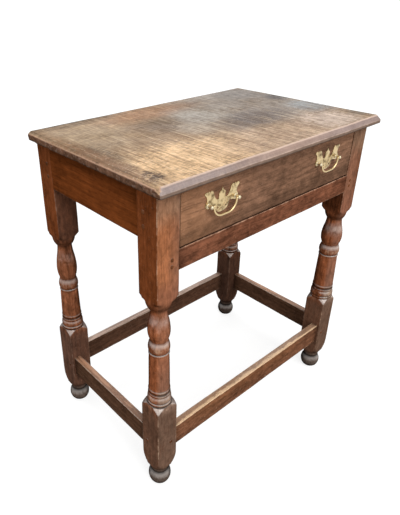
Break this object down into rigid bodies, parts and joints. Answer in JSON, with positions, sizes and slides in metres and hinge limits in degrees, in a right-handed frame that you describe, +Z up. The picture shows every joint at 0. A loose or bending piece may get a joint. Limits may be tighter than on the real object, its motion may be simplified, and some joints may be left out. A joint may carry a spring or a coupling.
{
  "type": "side table with drawer",
  "caption": "Oak side table with a moulded top, side-hung drawer with drop handles, baluster-turned legs, box stretcher and ball feet.",
  "frame": {"origin": "on the floor under the middle of the table top", "axes": "+X to the right along the front, +Y from the drawer to the back, +Z up"},
  "size_m": [0.634, 0.402, 0.704],
  "materials": {
    "top_oak": "worn wax over quarter-sawn oak",
    "frame_oak": "dark waxed oak",
    "peg_oak": "dark waxed oak end grain",
    "drawer_oak": "dark waxed oak",
    "lining_oak": "dry unpolished oak",
    "brass": "cast and filed, worn bright",
    "nail_iron": "forged, rusted dark"
  },
  "bodies": {
    "table_frame": {"table_top": "top_oak", "top_pegs": "peg_oak", "leg_front_left": "frame_oak", "leg_front_right": "frame_oak", "leg_back_left": "frame_oak", "leg_back_right": "frame_oak", "side_rail_left": "frame_oak", "side_rail_right": "frame_oak", "back_rail": "frame_oak", "drawer_rail": "frame_oak", "stretcher_front": "frame_oak", "stretcher_back": "frame_oak", "stretcher_left": "frame_oak", "stretcher_right": "frame_oak", "side_rail_pegs": "peg_oak", "back_rail_pegs": "peg_oak", "drawer_rail_pegs": "peg_oak", "stretcher_pegs": "peg_oak", "drawer_runner_left": "lining_oak", "drawer_runner_right": "lining_oak", "runner_nails": "nail_iron"},
    "drawer": {"drawer_front": "drawer_oak", "drawer_side_left": "lining_oak", "drawer_side_right": "lining_oak", "drawer_back": "lining_oak", "drawer_bottom": "lining_oak", "drawer_nails": "nail_iron", "handle_plate_left": "brass", "handle_posts_left": "brass", "handle_nuts_left": "brass", "handle_plate_right": "brass", "handle_posts_right": "brass", "handle_nuts_right": "brass"},
    "bail_left": {"bail_left": "brass"},
    "bail_right": {"bail_right": "brass"}
  },
  "joints": [
    {"name": "drawer_slide", "type": "slide", "parent": "table_frame", "child": "drawer", "axis": [0, -1, 0], "range_m": [0, 0.26]},
    {"name": "bail_left_swing", "type": "hinge", "parent": "drawer", "child": "bail_left", "pos_m": [-0.158, -0.188, 0.634], "axis": [-1, 0, 0], "range_deg": [-12, 190]},
    {"name": "bail_right_swing", "type": "hinge", "parent": "drawer", "child": "bail_right", "pos_m": [0.158, -0.188, 0.634], "axis": [-1, 0, 0], "range_deg": [-12, 190]}
  ]
}
